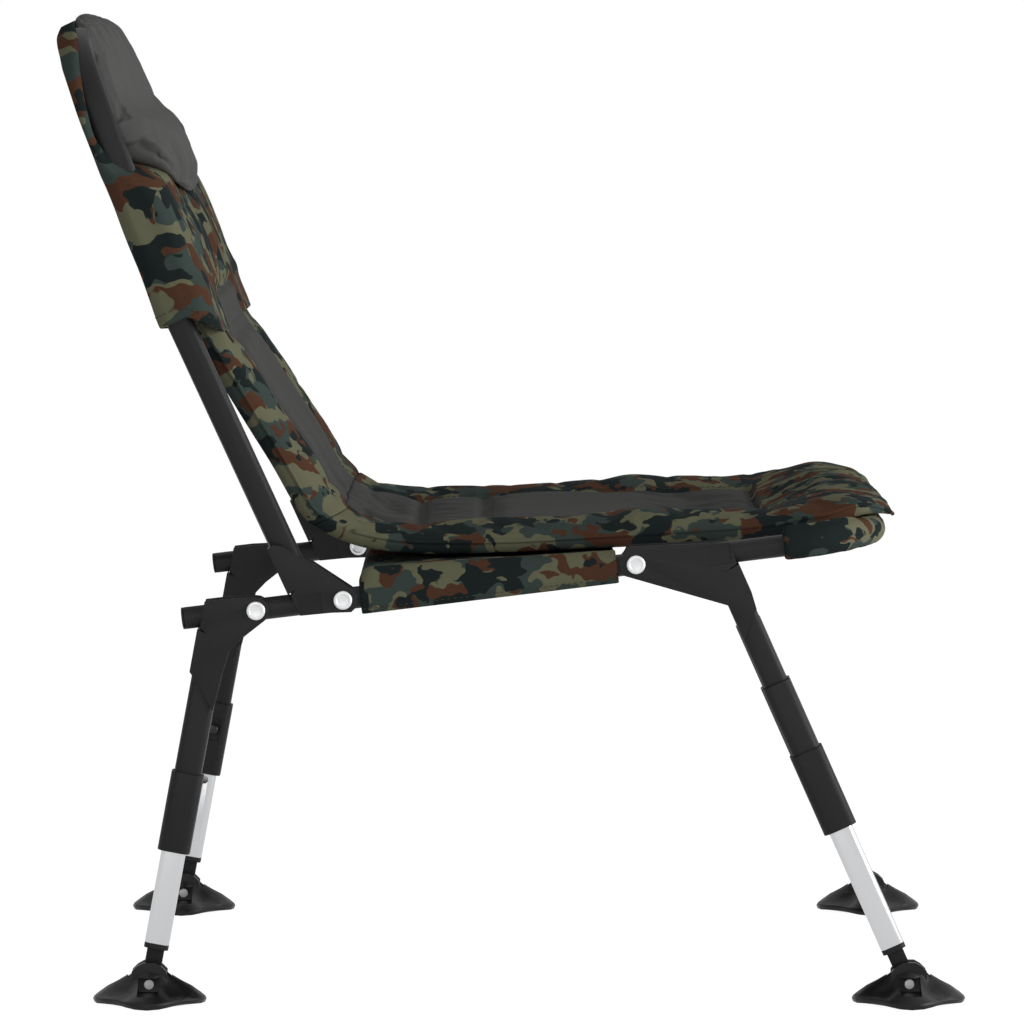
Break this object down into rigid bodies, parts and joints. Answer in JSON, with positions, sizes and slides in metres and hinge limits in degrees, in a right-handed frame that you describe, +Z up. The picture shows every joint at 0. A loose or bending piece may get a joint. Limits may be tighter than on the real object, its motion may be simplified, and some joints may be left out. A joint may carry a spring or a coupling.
{
  "type": "folding fishing chair",
  "caption": "Folding fishing chair with a padded high back, head pillow, telescopic legs and swivelling mud feet.",
  "frame": {"origin": "under the middle of the chair's bounding box, on the ground", "axes": "+X towards the front of the seat, +Y towards the sitter's left, +Z up"},
  "size_m": [0.778, 0.643, 0.8521],
  "materials": {
    "black_steel": "satin black powder coat",
    "black_plastic": "fine matt moulding",
    "silver_tube": "satin drawn tube",
    "bright_rivet": "bright zinc",
    "camo_cloth": "woven polyester with a woodland pattern",
    "grey_cloth": "brushed dark grey polyester"
  },
  "bodies": {
    "seat": {"seat_frame_tube": "black_steel", "rail_cap_left": "black_plastic", "rail_cap_right": "black_plastic", "seat_sling": "camo_cloth", "front_pocket": "camo_cloth", "seat_cushion": "camo_cloth", "rear_leg_rivet_left": "bright_rivet", "rear_leg_rivet_right": "bright_rivet", "backrest_rivet_left": "bright_rivet", "backrest_rivet_right": "bright_rivet", "front_leg_rivet_left": "bright_rivet", "front_leg_rivet_right": "bright_rivet"},
    "backrest": {"backrest_frame_tube": "black_steel", "backrest_bracket_left": "black_steel", "backrest_bracket_right": "black_steel", "back_cushion": "camo_cloth", "head_hood": "camo_cloth", "head_pillow": "grey_cloth"},
    "rear_leg_left": {"rear_leg_bracket_left": "black_steel", "rear_upper_tube_left": "black_steel", "rear_lock_sleeve_left": "black_plastic"},
    "rear_leg_button_left": {"rear_lock_button_left": "bright_rivet"},
    "rear_leg_slider_left": {"rear_inner_tube_left": "silver_tube", "rear_leg_plug_left": "black_plastic", "rear_foot_pin_left": "bright_rivet"},
    "rear_foot_left": {"rear_mud_foot_left": "black_plastic"},
    "rear_leg_right": {"rear_leg_bracket_right": "black_steel", "rear_upper_tube_right": "black_steel", "rear_lock_sleeve_right": "black_plastic"},
    "rear_leg_button_right": {"rear_lock_button_right": "bright_rivet"},
    "rear_leg_slider_right": {"rear_inner_tube_right": "silver_tube", "rear_leg_plug_right": "black_plastic", "rear_foot_pin_right": "bright_rivet"},
    "rear_foot_right": {"rear_mud_foot_right": "black_plastic"},
    "front_leg_left": {"front_leg_bracket_left": "black_steel", "front_upper_tube_left": "black_steel", "front_outer_tube_left": "black_steel", "front_lock_sleeve_left": "black_plastic"},
    "front_leg_button_left": {"front_lock_button_left": "bright_rivet"},
    "front_leg_slider_left": {"front_inner_tube_left": "silver_tube", "front_leg_plug_left": "black_plastic", "front_foot_pin_left": "bright_rivet"},
    "front_foot_left": {"front_mud_foot_left": "black_plastic"},
    "front_leg_right": {"front_leg_bracket_right": "black_steel", "front_upper_tube_right": "black_steel", "front_outer_tube_right": "black_steel", "front_lock_sleeve_right": "black_plastic"},
    "front_leg_button_right": {"front_lock_button_right": "bright_rivet"},
    "front_leg_slider_right": {"front_inner_tube_right": "silver_tube", "front_leg_plug_right": "black_plastic", "front_foot_pin_right": "bright_rivet"},
    "front_foot_right": {"front_mud_foot_right": "black_plastic"}
  },
  "joints": [
    {"name": "backrest_fold", "type": "hinge", "parent": "seat", "child": "backrest", "pos_m": [-0.14649, 0, 0.34853], "axis": [0, 1, 0], "range_deg": [0, 93], "deforming": ["seat_cushion", "back_cushion", "seat_sling"]},
    {"name": "rear_leg_fold_left", "type": "hinge", "parent": "seat", "child": "rear_leg_left", "pos_m": [-0.22094, 0.2725, 0.33948], "axis": [0, 1, 0], "range_deg": [-98, 0]},
    {"name": "rear_leg_slide_left", "type": "slide", "parent": "rear_leg_left", "child": "rear_leg_slider_left", "axis": [0.1822, 0, 0.9833], "range_m": [-0.025, 0.05]},
    {"name": "rear_foot_swivel_left", "type": "hinge", "parent": "rear_leg_slider_left", "child": "rear_foot_left", "pos_m": [-0.31394, 0.2725, 0.0166], "axis": [0, 1, 0], "range_deg": [-24.5, 45.5]},
    {"name": "rear_lock_press_left", "type": "slide", "parent": "rear_leg_left", "child": "rear_leg_button_left", "axis": [0, 1, 0], "range_m": [0, 0.0024], "stiffness_N_per_m": 800},
    {"name": "rear_leg_fold_right", "type": "hinge", "parent": "seat", "child": "rear_leg_right", "pos_m": [-0.22094, -0.2725, 0.33948], "axis": [0, 1, 0], "range_deg": [-98, 0]},
    {"name": "rear_leg_slide_right", "type": "slide", "parent": "rear_leg_right", "child": "rear_leg_slider_right", "axis": [0.1822, 0, 0.9833], "range_m": [-0.025, 0.05]},
    {"name": "rear_foot_swivel_right", "type": "hinge", "parent": "rear_leg_slider_right", "child": "rear_foot_right", "pos_m": [-0.31394, -0.2725, 0.0166], "axis": [0, 1, 0], "range_deg": [-24.5, 45.5]},
    {"name": "rear_lock_press_right", "type": "slide", "parent": "rear_leg_right", "child": "rear_leg_button_right", "axis": [0, -1, 0], "range_m": [0, 0.0024], "stiffness_N_per_m": 800},
    {"name": "front_leg_fold_left", "type": "hinge", "parent": "seat", "child": "front_leg_left", "pos_m": [0.10417, 0.2725, 0.379], "axis": [0, 1, 0], "range_deg": [0, 84]},
    {"name": "front_leg_slide_left", "type": "slide", "parent": "front_leg_left", "child": "front_leg_slider_left", "axis": [-0.4067, 0, 0.9135], "range_m": [-0.025, 0.025]},
    {"name": "front_foot_swivel_left", "type": "hinge", "parent": "front_leg_slider_left", "child": "front_foot_left", "pos_m": [0.33995, 0.2725, 0.0166], "axis": [0, 1, 0], "range_deg": [-59, 11]},
    {"name": "front_lock_press_left", "type": "slide", "parent": "front_leg_left", "child": "front_leg_button_left", "axis": [0, 1, 0], "range_m": [0, 0.0024], "stiffness_N_per_m": 800},
    {"name": "front_leg_fold_right", "type": "hinge", "parent": "seat", "child": "front_leg_right", "pos_m": [0.10417, -0.2725, 0.379], "axis": [0, 1, 0], "range_deg": [0, 84]},
    {"name": "front_leg_slide_right", "type": "slide", "parent": "front_leg_right", "child": "front_leg_slider_right", "axis": [-0.4067, 0, 0.9135], "range_m": [-0.025, 0.025]},
    {"name": "front_foot_swivel_right", "type": "hinge", "parent": "front_leg_slider_right", "child": "front_foot_right", "pos_m": [0.33995, -0.2725, 0.0166], "axis": [0, 1, 0], "range_deg": [-59, 11]},
    {"name": "front_lock_press_right", "type": "slide", "parent": "front_leg_right", "child": "front_leg_button_right", "axis": [0, -1, 0], "range_m": [0, 0.0024], "stiffness_N_per_m": 800}
  ]
}
